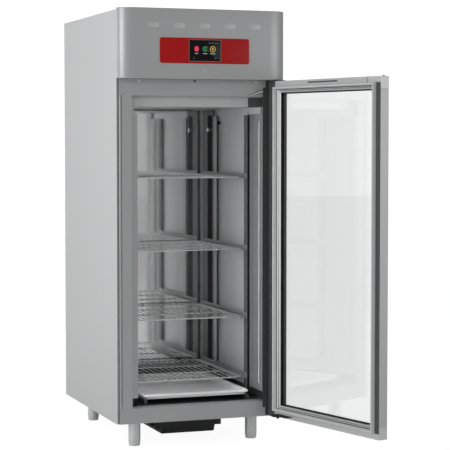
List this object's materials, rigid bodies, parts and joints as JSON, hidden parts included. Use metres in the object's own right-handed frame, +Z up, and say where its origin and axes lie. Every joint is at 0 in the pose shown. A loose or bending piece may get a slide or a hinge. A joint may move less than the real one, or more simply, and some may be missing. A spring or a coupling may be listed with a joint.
{
  "type": "dry aging cabinet",
  "caption": "upright dry aging cabinet: steel body on round legs, wide glazed door hinged right, wire shelves on runners, red control fascia on a rounded header",
  "frame": {"origin": "centre of the sole of the front left leg, on the floor", "axes": "+Z is up, and -Y is the way the cabinet's front faces; +X points from the left legs to the hinge side"},
  "size_m": [0.955, 1.6978, 1.951],
  "materials": {
    "steel": "satin",
    "inner_steel": "satin",
    "wire": "polished",
    "dark_plastic": "matte",
    "black_plastic": "matte",
    "black_steel": "satin",
    "seal_rubber": "matte",
    "red_plastic": "gloss",
    "screen": "gloss",
    "clear_glass": "clear",
    "fins": "raw"
  },
  "bodies": {
    "cabinet": {"left_side_panel": "steel", "right_side_panel": "steel", "rear_panel": "steel", "roof_panel": "steel", "base_panel": "steel", "wall_left": "inner_steel", "wall_right": "inner_steel", "wall_rear": "inner_steel", "wall_ceiling": "inner_steel", "wall_floor": "inner_steel", "deck_panel": "steel", "front_frame": "steel", "door_switch": "black_plastic", "light_column_left": "inner_steel", "light_column_right": "inner_steel", "rack_upright_front_left": "inner_steel", "rack_upright_front_right": "inner_steel", "rack_upright_rear_left": "inner_steel", "rack_upright_rear_right": "inner_steel", "runner_1_left": "inner_steel", "runner_1_right": "inner_steel", "runner_2_left": "inner_steel", "runner_2_right": "inner_steel", "runner_3_left": "inner_steel", "runner_3_right": "inner_steel", "runner_4_left": "inner_steel", "runner_4_right": "inner_steel", "air_channel": "dark_plastic", "humidity_probe": "wire", "evaporator_cover": "steel", "lamp_driver": "black_plastic", "evaporator_coil": "fins", "header_cowl": "steel", "control_fascia": "red_plastic", "touch_screen": "screen", "compressor": "black_steel", "condenser": "fins", "leg_front_left": "steel", "leg_front_right": "steel", "leg_rear_left": "steel", "leg_rear_right": "steel", "hinge_plate_top": "black_steel", "hinge_plate_bottom": "black_steel"},
    "door": {"door_stile_hinge": "steel", "door_stile_handle": "steel", "door_rail_top": "steel", "door_rail_bottom": "steel", "door_glass": "clear_glass", "edge_strip_handle": "dark_plastic", "edge_strip_hinge": "dark_plastic", "door_seal": "seal_rubber"},
    "shelf_a": {"shelf_1": "wire"},
    "shelf_b": {"shelf_2": "wire"},
    "shelf_c": {"shelf_3": "wire"},
    "shelf_d": {"shelf_4": "wire"},
    "pan": {"drip_tray": "inner_steel"},
    "water_tray": {"evaporation_tray": "black_plastic"},
    "lock": {"lock_barrel": "wire"},
    "cold_fan": {"evaporator_fan": "dark_plastic"},
    "warm_fan": {"condenser_fan": "dark_plastic"}
  },
  "joints": [
    {"name": "door_hinge", "type": "hinge", "parent": "cabinet", "child": "door", "pos_m": [0.6335, -0.1544, 0], "axis": [0, 0, 1], "range_deg": [-105, 15]},
    {"name": "shelf_1_slide", "type": "slide", "parent": "cabinet", "child": "shelf_a", "axis": [0, -1, 0], "range_m": [0, 0.15]},
    {"name": "shelf_2_slide", "type": "slide", "parent": "cabinet", "child": "shelf_b", "axis": [0, -1, 0], "range_m": [0, 0.15]},
    {"name": "shelf_3_slide", "type": "slide", "parent": "cabinet", "child": "shelf_c", "axis": [0, -1, 0], "range_m": [0, 0.15]},
    {"name": "shelf_4_slide", "type": "slide", "parent": "cabinet", "child": "shelf_d", "axis": [0, -1, 0], "range_m": [0, 0.15]},
    {"name": "drip_tray_slide", "type": "slide", "parent": "cabinet", "child": "pan", "axis": [0, -1, 0], "range_m": [0, 0.055]},
    {"name": "evaporation_tray_slide", "type": "slide", "parent": "cabinet", "child": "water_tray", "axis": [0, -1, 0], "range_m": [0, 0.26]},
    {"name": "lock_turn", "type": "hinge", "parent": "cabinet", "child": "lock", "pos_m": [0.28, -0.165, 1.681], "axis": [0, 1, 0], "range_deg": [0, 90]},
    {"name": "evaporator_fan_spin", "type": "hinge", "parent": "cabinet", "child": "cold_fan", "pos_m": [0.28, 0.232, 1.54225], "axis": [0, 0, 1], "continuous": true},
    {"name": "condenser_fan_spin", "type": "hinge", "parent": "cabinet", "child": "warm_fan", "pos_m": [0.47, 0.365, 1.7583], "axis": [0, 1, 0], "continuous": true}
  ]
}
